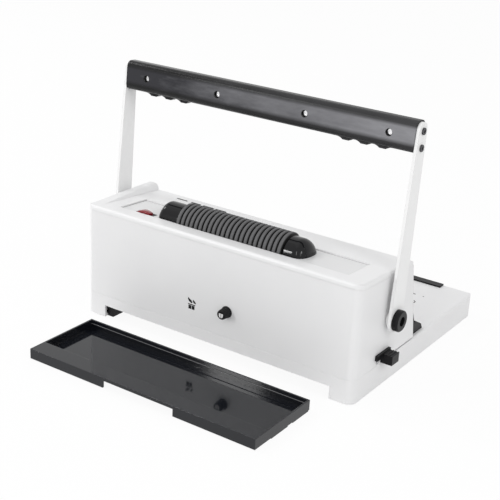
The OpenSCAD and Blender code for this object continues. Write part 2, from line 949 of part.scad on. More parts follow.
module drive_belt() {
    dy = motor_in - roller_in;
    dz = roller_z - motor_z;
    tilt = atan(-dy / dz);
    x0 = pulley_x + (pulley_w - belt_w) / 2;
    clear = 2 * run_fit;
    color("black") translate([0, at(motor_in), motor_z]) rotate([tilt, 0, 0])
        along_x(x0, x0 + belt_w) difference() {
            translate([0, norm([dy, dz])]) mirror([0, 1]) link2d(
                roller_pulley_r + clear + belt_t, motor_pulley_r + clear + belt_t,
                norm([dy, dz]));
            translate([0, norm([dy, dz])]) mirror([0, 1]) link2d(
                roller_pulley_r + clear, motor_pulley_r + clear, norm([dy, dz]));
        }
}

module roller_pulley() {
    color("goldenrod") translate([0, at(roller_in), roller_z])
        pulley(roller_pulley_r, pulley_x, spindle_r);
}

module roller_core() {
    color("silver") translate([0, at(roller_in), roller_z]) {
        bar_x(core_r, sleeve_right, sleeve_left);
        bar_x(spindle_r, sleeve_right - bush_t - gap, sleeve_left + end_left_l - pulley_in);
    }
}

// Rubber sleeve with a round-edged ring at every step
module roller_sleeve() {
    low = roller_r - groove_deep;
    land = ring_pitch * ring_share;
    color("gray") translate([sleeve_right, at(roller_in), roller_z]) rotate([0, 90, 0])
        rotate_extrude() polygon(concat([[core_r, 0]], [for (i = [0:rings - 1])
            let (z = i * ring_pitch + (ring_pitch - land) / 2) each
            [[low, z], [roller_r - ring_round, z], [roller_r, z + ring_round],
            [roller_r, z + land - ring_round], [roller_r - ring_round, z + land],
            [low, z + land]]], [[low, sleeve_l], [core_r, sleeve_l]]));
}

// Bar along X from x0 to x1 with an oval end
module domed_bar(r, x0, x1, dome_l) {
    rotate([0, 90, 0]) rotate_extrude() polygon(concat([[0, x0], [r, x0]],
        [for (i = [0:dome_steps]) let (a = 90 * i / dome_steps)
            [r * cos(a), x1 - dome_l + dome_l * sin(a)]]));
}

// What lies under the floor of the cover's pocket
module under_pocket() {
    on_cover() span([-body_w, -house_d, -house_h], [body_w, house_d + house_d, -pocket_deep]);
}

// End cover of the roller from x0 on: a domed shell that stands on the pocket's floor, and
// a plate that goes down through the opening and holds the bush
module end_cover(x0, l, dome_l) {
    half = end_r - end_wall - gap;
    difference() {
        union() {
            difference() {
                translate([x0, at(roller_in), roller_z]) difference() {
                    domed_bar(end_r, 0, l, dome_l);
                    domed_bar(end_r - end_wall, bush_t, l - end_wall, dome_l - end_wall);
                }
                under_pocket();
            }
            span([x0, at(roller_in) - half, roller_z - bush_r - wall],
                [x0 + bush_t, at(roller_in) + half, roller_z + bush_r]);
        }
        translate([0, at(roller_in), roller_z]) bar_x(bush_r, x0 - over, x0 + bush_t + over);
    }
}

module roller_cover_left() {
    color("black") end_cover(sleeve_left + gap, end_left_l, dome_left_l);
}

module roller_cover_right() {
    color("black") mirror([1, 0, 0]) end_cover(-sleeve_right + gap, end_right_l, dome_right_l);
}

module roller_bushes() {
    color("goldenrod") translate([0, at(roller_in), roller_z]) {
        difference() {
            bar_x(bush_r, sleeve_left + gap, sleeve_left + gap + bush_t);
            bar_x(spindle_r + run_fit, sleeve_left - over, sleeve_left + bush_t + over);
        }
        difference() {
            bar_x(bush_r, sleeve_right - gap - bush_t, sleeve_right - gap);
            bar_x(spindle_r + run_fit, sleeve_right - bush_t - over, sleeve_right + over);
        }
    }
}

// Switch and speed control
module on_switch() {
    on_cover() translate([-switch_x, switch_in, -pocket_deep]) children();
}

module switch_body() {
    half_l = switch_l / 2;
    half_w = switch_w / 2;
    skin = bezel_w + gap;
    color("black") on_switch() difference() {
        union() {
            span([-half_l, -half_w, 0], [half_l, half_w, bezel_t]);
            span([-half_l + skin, -half_w + skin, -switch_body_h],
                [half_l - skin, half_w - skin, 0]);
        }
        span([-half_l + skin + switch_wall, -half_w + skin + switch_wall, -rocker_h],
            [half_l - skin - switch_wall, half_w - skin - switch_wall, bezel_t + over]);
        translate([0, 0, -rocker_pivot]) bar_y(rocker_pin_r + run_fit, -half_w, half_w);
    }
}

module switch_rocker() {
    half_l = switch_l / 2 - bezel_w - switch_wall - gap - rocker_end_gap;
    half_w = switch_w / 2 - bezel_w - switch_wall - 2 * gap;
    top = rocker_pivot + bezel_t;
    rise = half_l * tan(rocker_tilt);
    color("firebrick") on_switch() translate([0, 0, -rocker_pivot]) rotate([0, rocker_tilt, 0]) {
        along_y(-half_w, half_w) polygon([[-half_l, rocker_pivot - gap], [-rocker_pivot,
            -rocker_pivot], [rocker_pivot, -rocker_pivot], [half_l, rocker_pivot - gap],
            [half_l, top + rise], [0, top], [-half_l, top + rise]]);
        bar_y(rocker_pin_r, -half_w - switch_wall, half_w + switch_wall);
    }
}

module speed_place() {
    translate([speed_x, rear_y, speed_z]) children();
}

module speed_control() {
    color("darkslategray") speed_place() difference() {
        union() {
            bar_y(pot_r, -wall - pot_l, -wall);
            bar_y(collar_r, -wall, -gap);
        }
        bar_y(spindle_thin_r + run_fit, -wall - pot_l / 2, over);
    }
}

module speed_spindle() {
    color("silver") speed_place() bar_y(spindle_thin_r, -wall - pot_l / 2 + gap, knob_bore_l);
}

module speed_knob() {
    color("black") speed_place() difference() {
        translate([0, gap, 0]) rotate([-90, 0, 0]) rotate_extrude() polygon([[0, 0],
            [knob_r, 0], [knob_tip_r, knob_l - cap_edge], [knob_tip_r - cap_edge, knob_l],
            [0, knob_l]]);
        bar_y(spindle_thin_r, 0, knob_bore_l);
    }
}

module control_board() {
    z0 = shelf_z + shelf_t;
    z1 = z0 + standoff_l + board_t;
    y0 = at(shelf_front) + wall;
    color("darkgreen") span([board_x, y0, z0 + standoff_l],
        [board_x + board_l, y0 + board_w, z1]);
    color("silver") for (x = [board_x + wall, board_x + board_l - wall],
            y = [y0 + wall, y0 + board_w - wall])
        translate([x, y, 0]) bar_z(standoff_r, z0, z0 + standoff_l);
    color("dimgray") {
        translate([board_x + board_l / 3, y0 + board_w / 2, 0]) bar_z(part_r, z1, z1 + part_h);
        span([board_x + board_l / 2, y0 + wall, z1],
            [board_x + board_l - wall, y0 + board_w - wall, z1 + part_h / 2]);
    }
}

module inlet_place() {
    translate([side_x, at(inlet_in), inlet_z]) children();
}

module power_inlet() {
    half_l = inlet_l / 2;
    half_h = inlet_h / 2;
    color("black") inlet_place() {
        difference() {
            union() {
                span([0, -half_l, -half_h], [inlet_lip, half_l, half_h]);
                span([-inlet_deep, -half_l + inlet_lip + gap, -half_h + inlet_lip + gap],
                    [0, half_l - inlet_lip - gap, half_h - inlet_lip - gap]);
            }
            span([-socket_hole, -socket_l / 2, -socket_h / 2],
                [inlet_lip + over, socket_l / 2, socket_h / 2]);
        }
        for (y = [-socket_l / 4, 0, socket_l / 4])
            span([-socket_hole, y - blade_t / 2, -blade_w / 2],
                [blade_l - socket_hole, y + blade_t / 2, blade_w / 2]);
    }
}

// Depth gauge, edge guide and scale strip
module depth_knob() {
    y0 = at(gauge_in) - gauge_knob_l / 2;
    y1 = at(gauge_in) + gauge_knob_l / 2;
    half_h = gauge_knob_h / 2;
    plate_x = side_x + gap + gauge_plate_t;
    color("black") {
        span([-plate_x, at(gauge_plate_in) - gauge_plate_l / 2,
            gauge_plate_z - gauge_plate_h / 2], [-side_x - gap,
            at(gauge_plate_in) + gauge_plate_l / 2, gauge_plate_z + gauge_plate_h / 2]);
        span([-gauge_knob_x, y0, gauge_z - half_h], [-plate_x, y1, gauge_z + half_h]);
        span([-plate_x, y0, gauge_z - half_h], [-side_x - gap, y1, gauge_z + half_h]);
        for (i = [0:gauge_ribs - 1])
            translate([-gauge_knob_x + gauge_rib_r, 0, gauge_z + half_h])
                translate([i * (gauge_knob_x - plate_x - 2 * gauge_rib_r) / (gauge_ribs - 1),
                    0, 0]) bar_y(gauge_rib_r, y0, y1);
        span([-side_x - gap, at(gauge_in) - gauge_shank / 2, gauge_z - gauge_shank / 2],
            [-frame_x + ear_t + gap, at(gauge_in) + gauge_shank / 2,
                gauge_z + gauge_shank / 2]);
    }
}

module gauge_screw_place() {
    translate([0, at(gauge_screw_in), gauge_screw_z]) children();
}

module gauge_screw() {
    head_x = -side_x - gauge_screw_head_t;
    color("silver") gauge_screw_place() difference() {
        union() {
            bar_x(gauge_screw_head_r, head_x, -side_x);
            bar_x(gauge_screw_r, -side_x, -side_x + wall + over);
        }
        bar_x(socket_r / 2, head_x - over, -side_x - gauge_screw_head_t / 2);
    }
}

module stop_bar() {
    z0 = base_h + gap;
    x0 = -frame_x + ear_t + gap;
    y1 = at(slot_d) + stop_lip;
    color("silver") {
        span([x0, y1, z0], [stop_l / 2, at(slot_d) + stop_w, z0 + stop_t]);
        span([-stop_l / 2, at(slot_d), z0], [stop_l / 2, y1, z0 + stop_t]);
        span([x0, at(gauge_in) - gauge_shank / 2, z0], [x0 + ear_t,
            at(gauge_in) + gauge_shank / 2, gauge_z + gauge_shank / 2]);
    }
}

// Place of the housing's front face, counted forwards, at the height z
function front_in(z) = house_d - front_rake * (z - base_h);

module edge_guide() {
    x0 = -side_x + guide_margin;
    y0 = at(guide_in) - guide_w / 2;
    y1 = at(guide_in) + guide_w / 2;
    z0 = base_h + gap;
    color("black") {
        along_x(x0, x0 + guide_l) polygon([[y0, z0], [y1, z0], [y1, base_h + guide_high],
            [y0 + guide_nose, base_h + guide_low]]);
        along_x(x0, x0 + fin_t) polygon([[at(front_in(z0) + fin_gap + fin_w + guide_nose), z0],
            [at(front_in(z0) + fin_gap), z0], [at(front_in(fin_z) + fin_gap), fin_z],
            [at(front_in(fin_z) + fin_gap + fin_w), fin_z],
            [at(front_in(z0) + fin_gap + fin_w + guide_nose), base_h + guide_low]]);
        span([x0 + fin_t, at(guide_in) - key_w / 2, base_h - key_d],
            [x0 + guide_l, at(guide_in) + key_w / 2, z0]);
    }
}

module scale_strip() {
    color("black") along_x(-strip_l / 2, strip_l / 2) plate2d(front_y + strip_in, base_h,
        front_y + strip_in + strip_w, base_h + strip_t, strip_t / 4);
}

base_shell();
bottom_plate();
rubber_feet();
tray_guides();
chip_tray();
housing();
top_cover();
side_frames();
frame_screws();
die_plate();
pin_guide();
guide_posts();
return_springs();
punch_beam();
punch_pins();
pivot_shaft();
shaft_bushes();
press_cams();
handle_arm_left();
handle_arm_right();
pivot_caps();
grip_core();
grip_rear_half();
grip_front_half();
grip_screws();
arm_screws();
equipment_shelf();
motor();
motor_bracket();
motor_pulley();
drive_belt();
roller_pulley();
roller_core();
roller_sleeve();
roller_cover_left();
roller_cover_right();
roller_bushes();
switch_body();
switch_rocker();
speed_control();
speed_spindle();
speed_knob();
control_board();
power_inlet();
depth_knob();
stop_bar();
gauge_screw();
edge_guide();
scale_strip();
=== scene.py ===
import json
import math

import bmesh
import bpy
from mathutils import Matrix, Vector


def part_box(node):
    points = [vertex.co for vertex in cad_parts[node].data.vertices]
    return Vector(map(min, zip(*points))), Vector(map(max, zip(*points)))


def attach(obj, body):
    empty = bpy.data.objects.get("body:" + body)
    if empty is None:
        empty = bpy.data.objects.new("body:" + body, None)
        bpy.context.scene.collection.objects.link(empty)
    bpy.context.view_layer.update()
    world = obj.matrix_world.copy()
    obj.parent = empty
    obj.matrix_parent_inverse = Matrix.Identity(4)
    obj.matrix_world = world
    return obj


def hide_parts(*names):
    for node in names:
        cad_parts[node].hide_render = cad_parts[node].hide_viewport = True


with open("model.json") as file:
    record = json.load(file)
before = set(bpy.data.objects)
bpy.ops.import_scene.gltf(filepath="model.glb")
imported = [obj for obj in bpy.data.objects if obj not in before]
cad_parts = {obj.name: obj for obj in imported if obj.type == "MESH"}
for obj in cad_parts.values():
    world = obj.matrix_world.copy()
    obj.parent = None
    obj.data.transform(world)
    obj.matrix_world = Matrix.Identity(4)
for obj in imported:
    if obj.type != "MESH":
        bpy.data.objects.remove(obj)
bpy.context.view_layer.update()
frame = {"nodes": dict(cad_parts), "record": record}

MM = 1000.0


def box_mm(node):
    """Lowest and highest corner of a CAD node at rest, in millimetres."""
    low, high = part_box(node)
    return [v * MM for v in low], [v * MM for v in high]


# Places of the frame, in millimetres. Depths are measured forward from the rear wall.
sleeve_low, sleeve_high = box_mm("roller_sleeve")
ROLLER_Y = (sleeve_low[1] + sleeve_high[1]) / 2
ROLLER_Z = (sleeve_low[2] + sleeve_high[2]) / 2
ROLLER_R = (sleeve_high[2] - sleeve_low[2]) / 2
REAR_Y = box_mm("housing")[1][1]
TABLE_Z = box_mm("base_shell")[1][2]
ROLLER_DEPTH = REAR_Y - ROLLER_Y

# The lid's flat top has this height at its rear edge and falls 7 mm in 115 mm to the front
LID_Z = 139.0
LID_FALL = 7.0 / 115.0
LID_TILT = math.atan(LID_FALL)

# The pocket in the lid, around the roller
POCKET_LEFT_X = 150.0
POCKET_RIGHT_X = -158.0
POCKET_HALF_D = 23.4
POCKET_DEEP = 1.5


# Nodes of the materials

def new_material(name):
    m = bpy.data.materials.new(name)
    m.use_nodes = True
    nt = m.node_tree
    nt.nodes.clear()
    out = nt.nodes.new("ShaderNodeOutputMaterial")
    return m, nt, out


def link(nt, a, b):
    nt.links.new(a, b)


def coords(nt, stretch=None):
    """Object coordinates, in metres, stretched along chosen axes."""
    tc = nt.nodes.new("ShaderNodeTexCoord")
    if stretch is None:
        return tc.outputs["Object"]
    mp = nt.nodes.new("ShaderNodeMapping")
    mp.inputs["Scale"].default_value = stretch
    link(nt, tc.outputs["Object"], mp.inputs["Vector"])
    return mp.outputs["Vector"]


def object_axes(nt):
    """The three object coordinates, in metres."""
    xyz = nt.nodes.new("ShaderNodeSeparateXYZ")
    link(nt, coords(nt), xyz.inputs["Vector"])
    return xyz.outputs["X"], xyz.outputs["Y"], xyz.outputs["Z"]


def noise(nt, vec, scale, detail=2.0, rough=0.5):
    n = nt.nodes.new("ShaderNodeTexNoise")
    n.inputs["Scale"].default_value = scale
    n.inputs["Detail"].default_value = detail
    n.inputs["Roughness"].default_value = rough
    link(nt, vec, n.inputs["Vector"])
    return n.outputs["Fac"]


def ramp(nt, fac, stops):
    """Colour by fac; each stop is a place from 0 to 1 and its colour."""
    r = nt.nodes.new("ShaderNodeValToRGB")
    el = r.color_ramp.elements
    for e, (pos, col) in zip(el, (stops[0], stops[-1])):
        e.position = pos
        e.color = (*col, 1)
    for pos, col in stops[1:-1]:
        e = el.new(pos)
        e.color = (*col, 1)
    link(nt, fac, r.inputs["Fac"])
    return r.outputs["Color"]


def spread(nt, fac, low, high, start=0.35, end=0.65):
    """Value that goes from low to high while fac goes from start to end."""
    m = nt.nodes.new("ShaderNodeMapRange")
    m.inputs["From Min"].default_value = start
    m.inputs["From Max"].default_value = end
    m.inputs["To Min"].default_value = low
    m.inputs["To Max"].default_value = high
    link(nt, fac, m.inputs["Value"])
    return m.outputs["Result"]


def math_node(nt, op, a, b=0.0):
    """One step of arithmetic; a and b are numbers or outputs."""
    n = nt.nodes.new("ShaderNodeMath")
    n.operation = op
    for sock, v in zip(n.inputs, (a, b)):
        if isinstance(v, (int, float)):
            sock.default_value = v
        else:
            link(nt, v, sock)
    return n.outputs["Value"]


def distance(nt, a, b):
    """Distance from zero of a point that has these two coordinates."""
    squares = math_node(nt, "ADD", math_node(nt, "MULTIPLY", a, a), math_node(nt, "MULTIPLY", b, b))
    return math_node(nt, "SQRT", squares)


def mix_color(nt, fac, a, b, blend="MIX"):
    """Colour from a to b by fac; a and b are colours or outputs."""
    mix = nt.nodes.new("ShaderNodeMix")
    mix.data_type = "RGBA"
    mix.blend_type = blend
    link(nt, fac, mix.inputs["Factor"])
    for sock, v in ((mix.inputs["A"], a), (mix.inputs["B"], b)):
        if isinstance(v, tuple):
            sock.default_value = (*v, 1)
        else:
            link(nt, v, sock)
    return mix.outputs["Result"]


def mix_shaders(nt, fac, a, b):
    """Shader from a to b by fac."""
    mix = nt.nodes.new("ShaderNodeMixShader")
    link(nt, fac, mix.inputs["Fac"])
    link(nt, a, mix.inputs[1])
    link(nt, b, mix.inputs[2])
    return mix.outputs["Shader"]


def shade(c, k):
    """Colour made k times as light."""
    return tuple(max(0.0, min(1.0, v * k)) for v in c)


# Materials

# Colours are linear, grain and clouds are noise scales per metre, and edges and the grain's
# height are in millimetres
COAT_ROUGH = 0.06
GRAIN_HEIGHT = 0.2
CLOUD_SCALE = 14.0


def grained(name, grain, bump, edge, spec=0.5, coat=0.0, metal=0.0, stretch=None):
    """Surface with fine grain and soft edges, before it gets its colour and roughness."""
    m, nt, out = new_material(name)
    bsdf = nt.nodes.new("ShaderNodeBsdfPrincipled")
    bsdf.inputs["Metallic"].default_value = metal
    bsdf.inputs["Specular IOR Level"].default_value = spec
    bsdf.inputs["Coat Weight"].default_value = coat
    bsdf.inputs["Coat Roughness"].default_value = COAT_ROUGH
    fine = noise(nt, coords(nt, stretch), grain, 2.0, 0.6)
    soft = nt.nodes.new("ShaderNodeBevel")
    soft.samples = 4
    soft.inputs["Radius"].default_value = edge / MM
    relief = nt.nodes.new("ShaderNodeBump")
    relief.inputs["Strength"].default_value = bump
    relief.inputs["Distance"].default_value = GRAIN_HEIGHT / MM
    link(nt, fine, relief.inputs["Height"])
    link(nt, soft.outputs["Normal"], relief.inputs["Normal"])
    link(nt, relief.outputs["Normal"], bsdf.inputs["Normal"])
    link(nt, bsdf.outputs["BSDF"], out.inputs["Surface"])
    return m, bsdf, relief, fine


def moulded(name, color, rough, grain, bump, vary, edge, rough_vary=0.04, **finish):
    """Moulded, painted or ground surface whose colour changes slowly and roughness finely."""
    m, bsdf, _, fine = grained(name, grain, bump, edge, **finish)
    nt = m.node_tree
    slow = noise(nt, coords(nt), CLOUD_SCALE, 3.0)
    tone = ramp(nt, slow, [(0.3, shade(color, 1 - vary)), (0.7, shade(color, 1 + vary))])
    link(nt, tone, bsdf.inputs["Base Color"])
    link(nt, spread(nt, fine, rough - rough_vary, rough + rough_vary), bsdf.inputs["Roughness"])
    return m


def ringed(name, color):
    """Ring rubber with a fine slanted knurl all round, with painted shade, near black, at the foot
    of the grooves.
    """
    knurls = 84
    slant = 900.0
    knurl_height = 0.45
    groove_foot, groove_top = ROLLER_R - 1.8, ROLLER_R - 0.2
    m, bsdf, relief, fine = grained(name, grain=1800, bump=0.5, edge=0.4, spec=0.3)
    nt = m.node_tree
    link(nt, spread(nt, fine, 0.56, 0.64), bsdf.inputs["Roughness"])
    x, y, z = object_axes(nt)
    up = math_node(nt, "SUBTRACT", z, ROLLER_Z / MM)
    back = math_node(nt, "SUBTRACT", y, ROLLER_Y / MM)
    around = math_node(nt, "MULTIPLY", math_node(nt, "ARCTAN2", up, back), knurls)
    along = math_node(nt, "MULTIPLY", x, slant)
    wave = math_node(nt, "SINE", math_node(nt, "ADD", around, along))
    height = math_node(nt, "ADD", math_node(nt, "MULTIPLY", wave, knurl_height), fine)
    link(nt, height, relief.inputs["Height"])
    tone = ramp(nt, spread(nt, wave, 0.0, 1.0, -1.0, 1.0),
                [(0.2, shade(color, 0.86)), (0.8, shade(color, 1.12))])
    # Painted shade: near black at the foot of the grooves, where shade falls between the rings.
    clear_of_groove_shade = spread(nt, distance(nt, up, back), 0.0, 1.0,
                           groove_foot / MM, groove_top / MM)
    link(nt, mix_color(nt, clear_of_groove_shade, (0.006, 0.006, 0.006), tone),
         bsdf.inputs["Base Color"])
    return m


def lid_moulding(name, color, pocket_shade_tone):
    """Lid plastic, with painted shade that makes the floor of the pocket a little darker than the
    rim.
    """
    m = moulded(name, color, rough=0.32, grain=1500, bump=0.04, vary=0.010, edge=1.2, spec=0.45)
    nt = m.node_tree
    bsdf = next(n for n in nt.nodes if n.type == "BSDF_PRINCIPLED")
    tone = bsdf.inputs["Base Color"].links[0].from_socket
    x, y, z = object_axes(nt)
    plane = math_node(nt, "ADD", math_node(nt, "MULTIPLY", y, LID_FALL),
                      (LID_Z - LID_FALL * REAR_Y) / MM)
    floor = spread(nt, math_node(nt, "SUBTRACT", z, plane), 1.0, 0.0,
                   (0.1 - POCKET_DEEP) / MM, (0.7 - POCKET_DEEP) / MM)
    middle_x = (POCKET_LEFT_X + POCKET_RIGHT_X) / 2
    half_l = (POCKET_LEFT_X - POCKET_RIGHT_X) / 2
    edge = 0.4
    for v, mid, half in ((x, middle_x, half_l - 0.2), (y, ROLLER_Y, POCKET_HALF_D - 0.1)):
        away = math_node(nt, "ABSOLUTE", math_node(nt, "SUBTRACT", v, mid / MM))
        inside = spread(nt, away, 1.0, 0.0, half / MM, (half + edge) / MM)
        floor = math_node(nt, "MULTIPLY", floor, inside)
    # Painted shade: the floor of the pocket is made darker than the rim.
    link(nt, mix_color(nt, floor, tone, (pocket_shade_tone,) * 3, "MULTIPLY"),
         bsdf.inputs["Base Color"])
    return m


def clear_of_recess_shade(nt, x, z):
    """Mask of painted shade: near zero in the recesses of the grip's four screws, one around them.
    """
    head_r, recess_r, rim = 3.0, 3.8, 0.4
    outer_share, inner_share = 0.842, 0.305
    low, high = box_mm("grip_screws")
    half_grip = (high[0] - head_r) / outer_share
    side = math_node(nt, "ABSOLUTE", x)
    up = math_node(nt, "SUBTRACT", z, (low[2] + high[2]) / 2 / MM)
    unshaded = 1.0
    for share in (outer_share, inner_share):
        along = math_node(nt, "SUBTRACT", side, half_grip * share / MM)
        clear = spread(nt, distance(nt, along, up), 0.03, 1.0,
                       recess_r / MM, (recess_r + rim) / MM)
        unshaded = math_node(nt, "MULTIPLY", clear, unshaded)
    return unshaded


def grip_with_painted_light(name, dark, pale, recesses):
    """Grip plastic: dark and polished at its +X end, paler and duller towards the other, the paler
    colour a painted sheen over random patches, with painted shade along its lower and upper
    edges and, where asked for, in its screw recesses."""
    sheen_per_metre = -2.4
    patch_share = 0.9
    patch_stretch = (16.0, 60.0, 60.0)
    # Heights from the grip's foot and top, in millimetres, and tones of the painted shade there
    foot_from, foot_to, foot_shade_tone = 10.0, 14.5, 0.10
    crown_from, crown_to, crown_shade_tone = 8.5, 5.0, 0.12
    m, bsdf, _, _ = grained(name, grain=1300, bump=0.25, edge=1.2, spec=0.24)
    nt = m.node_tree
    x, _, z = object_axes(nt)
    patches = noise(nt, coords(nt, patch_stretch), 1.0, 4.0, 0.65)
    # Painted sheen: paler towards -X, over random patches; the same value sets the roughness.
    sheen_and_patches = math_node(nt, "ADD", math_node(nt, "MULTIPLY", x, sheen_per_metre),
                     math_node(nt, "MULTIPLY", patches, patch_share))
    mid = tuple((p + q) / 2 for p, q in zip(dark, pale))
    tone = ramp(nt, sheen_and_patches, [(0.05, dark), (0.5, mid), (0.95, pale)])
    link(nt, spread(nt, sheen_and_patches, 0.20, 0.46, 0.05, 0.95), bsdf.inputs["Roughness"])
    low, high = box_mm("grip_rear_half")
    # Painted shade: darker along the grip's lower edge and along its top.
    foot = spread(nt, z, foot_shade_tone, 1.0, (low[2] + foot_from) / MM, (low[2] + foot_to) / MM)
    crown_shade = spread(nt, z, 1.0, crown_shade_tone,
                   (high[2] - crown_from) / MM, (high[2] - crown_to) / MM)
    unshaded = math_node(nt, "MULTIPLY", foot, crown_shade)
    # Painted shade in the screw recesses.
    if recesses:
        unshaded = math_node(nt, "MULTIPLY", unshaded, clear_of_recess_shade(nt, x, z))
    link(nt, mix_color(nt, unshaded, (0.002, 0.002, 0.002), tone), bsdf.inputs["Base Color"])
    return m


# Ends of the grip's colour ramp; the change between them along x is a painted sheen.
GRIP_DARK = (0.026, 0.026, 0.031)
GRIP_PALE = (0.255, 0.255, 0.27)

MAT = {
    "body": moulded("body_moulding", (0.82, 0.82, 0.825), rough=0.40, grain=1500,
                    bump=0.06, vary=0.012, edge=0.7, spec=0.4),
    # Lid plastic with painted shade on its pocket floor
    "cover": lid_moulding("cover_moulding", (0.83, 0.83, 0.835), pocket_shade_tone=0.90),
    "arm": moulded("arm_paint", (0.87, 0.87, 0.87), rough=0.33, grain=700,
                   bump=0.12, vary=0.012, edge=0.5, spec=0.4, coat=0.1),
    # Grip plastic with a painted sheen along it and painted shade at its edges and, on the rear
    # half, in its screw recesses
    "grip": grip_with_painted_light("grip_moulding", GRIP_DARK, GRIP_PALE, recesses=False),
    "grip_rear": grip_with_painted_light("grip_rear_moulding", GRIP_DARK, GRIP_PALE, recesses=True),
    "black_satin": moulded("black_satin", (0.009, 0.009, 0.010), rough=0.36, grain=1300,
                           bump=0.2, vary=0.10, edge=0.5, spec=0.14),
    "black_gloss": moulded("black_gloss", (0.005, 0.005, 0.006), rough=0.10, grain=600,
                           bump=0.002, vary=0.08, edge=0.3, spec=0.26, rough_vary=0.01),
    "tray": moulded("tray_moulding", (0.007, 0.008, 0.011), rough=0.07, grain=500,
                    bump=0.012, vary=0.08, edge=0.4, spec=0.40, rough_vary=0.02),
    "rings": ringed("ring_rubber", (0.115, 0.115, 0.118)),
    "foot": moulded("foot_rubber", (0.03, 0.03, 0.03), rough=0.7, grain=1500,
                    bump=0.4, vary=0.1, edge=0.4, spec=0.3),
    "belt": moulded("belt_rubber", (0.03, 0.03, 0.03), rough=0.65, grain=1500,
                    bump=0.4, vary=0.1, edge=0.2, spec=0.3),
    "red": moulded("rocker_red", (0.24, 0.006, 0.012), rough=0.16, grain=900,
                   bump=0.05, vary=0.10, edge=0.6, coat=0.4),
    "steel": moulded("ground_steel", (0.52, 0.52, 0.53), rough=0.30, grain=900,
                     bump=0.15, vary=0.05, edge=0.2, metal=1.0, stretch=(0.06, 1, 1)),
    "bright": moulded("bright_steel", (0.66, 0.66, 0.67), rough=0.16, grain=900,
                      bump=0.05, vary=0.04, edge=0.1, metal=1.0),
    "blackened": moulded("blackened_steel", (0.06, 0.06, 0.065), rough=0.45, grain=900,
                         bump=0.2, vary=0.1, edge=0.2, metal=0.6),
    "aluminium": moulded("mill_aluminium", (0.70, 0.70, 0.71), rough=0.32, grain=900,
                         bump=0.12, vary=0.04, edge=0.2, metal=1.0, stretch=(0.05, 1, 1)),
    "bronze": moulded("sintered_bronze", (0.42, 0.29, 0.12), rough=0.4, grain=1600,
                      bump=0.3, vary=0.08, edge=0.1, metal=1.0),
    "board": moulded("board_lacquer", (0.02, 0.13, 0.05), rough=0.3, grain=900,
                     bump=0.1, vary=0.1, edge=0.1),
    "screw": moulded("screw_steel", (0.90, 0.90, 0.91), rough=0.24, grain=900,
                     bump=0.05, vary=0.05, edge=0.2, metal=1.0),
    # Painted shade along the edges of the lid's pocket
    "edge_shade": moulded("seam_shadow", (0.26, 0.26, 0.255), rough=0.6, grain=1500,
                    bump=0.05, vary=0.05, edge=0.1, spec=0.1),
    # Painted highlight on the tray's inner step
    "step": moulded("tray_step_highlight", (0.12, 0.12, 0.125), rough=0.2, grain=500,
                    bump=0.01, vary=0.08, edge=0.1),
    "print": moulded("print_ink", (0.014, 0.014, 0.015), rough=0.5, grain=1500,
                     bump=0.05, vary=0.05, edge=0.1, spec=0.2),
    "mark": moulded("white_mark", (0.74, 0.74, 0.74), rough=0.5, grain=1500,
                    bump=0.05, vary=0.03, edge=0.1),
}

# CAD nodes whose material isn't the one named after their slot
OWN_MATERIAL = {"grip_screws": "screw", "grip_rear_half": "grip_rear"}


def dress_nodes():
    """Give every CAD node its material, with flat faces."""
    for row in frame["record"]["subparts"]:
        node, slot = row["node"], row["material_slot"]
        mesh = frame["nodes"][node].data
        mesh.materials.clear()
        mesh.materials.append(MAT[OWN_MATERIAL.get(node, slot)])
        for p in mesh.polygons:
            p.use_smooth = False


# Tools for the added pieces, in millimetres of the frame

def lid_point(x, depth, lift=0.0):
    """Point over the lid at a depth from the rear wall, lifted square to the lid."""
    return (x, REAR_Y - depth - lift * math.sin(LID_TILT),
            LID_Z - LID_FALL * depth + lift * math.cos(LID_TILT))


def piece(name, bm, slot, body, material=None, smooth=True):
    """Object made from a bmesh, which rides on a body and has the slot's own material or,
    where it is given, another."""
    mesh = bpy.data.meshes.new(name)
    bmesh.ops.recalc_face_normals(bm, faces=bm.faces[:])
    bm.to_mesh(mesh)
    bm.free()
    for p in mesh.polygons:
        p.use_smooth = smooth
    o = bpy.data.objects.new(name, mesh)
    bpy.context.scene.collection.objects.link(o)
    mesh.materials.append(MAT[material or slot])
    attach(o, body)
    return o


def split_edges(o, degrees):
    """Sharp edges where faces meet at more than this angle."""
    mod = o.modifiers.new("edges", "EDGE_SPLIT")
    mod.split_angle = math.radians(degrees)


def vert(bm, p):
    return bm.verts.new((p[0] / MM, p[1] / MM, p[2] / MM))


def skin(bm, rings):
    """Faces between each ring and the next; a ring of one point is a tip."""
    for a, b in zip(rings, rings[1:]):
        for j in range(len(a)):
            k = (j + 1) % len(a)
            if len(b) == 1:
                bm.faces.new((a[j], a[k], b[0]))
            else:
                bm.faces.new((a[j], a[k], b[k], b[j]))


def slab(bm, low, high):
    """Closed solid between two outlines of as many points."""
    a = [vert(bm, p) for p in low]
    b = [vert(bm, p) for p in high]
    bm.faces.new(a[::-1])
    bm.faces.new(b)
    skin(bm, [a, b])


# Prints stand this far out of their surface and reach this far into it
PRINT_OUT = 0.12
PRINT_IN = 0.3


def lid_patch(bm, points, base=0.0, out=PRINT_OUT):
    """Thin plate on the lid or at a base height over it, its outline as x and depth."""
    slab(bm, [lid_point(x, d, base - PRINT_IN) for x, d in points],
         [lid_point(x, d, base + out) for x, d in points])


def wall_patch(bm, points):
    """Thin plate on the rear wall, its outline given as x and z."""
    slab(bm, [(x, REAR_Y - PRINT_IN, z) for x, z in points],
         [(x, REAR_Y + PRINT_OUT, z) for x, z in points])


def table_patch(bm, points):
    """Thin plate on the paper table, its outline given as x and depth."""
    slab(bm, [(x, REAR_Y - d, TABLE_Z - PRINT_IN) for x, d in points],
         [(x, REAR_Y - d, TABLE_Z + PRINT_OUT) for x, d in points])


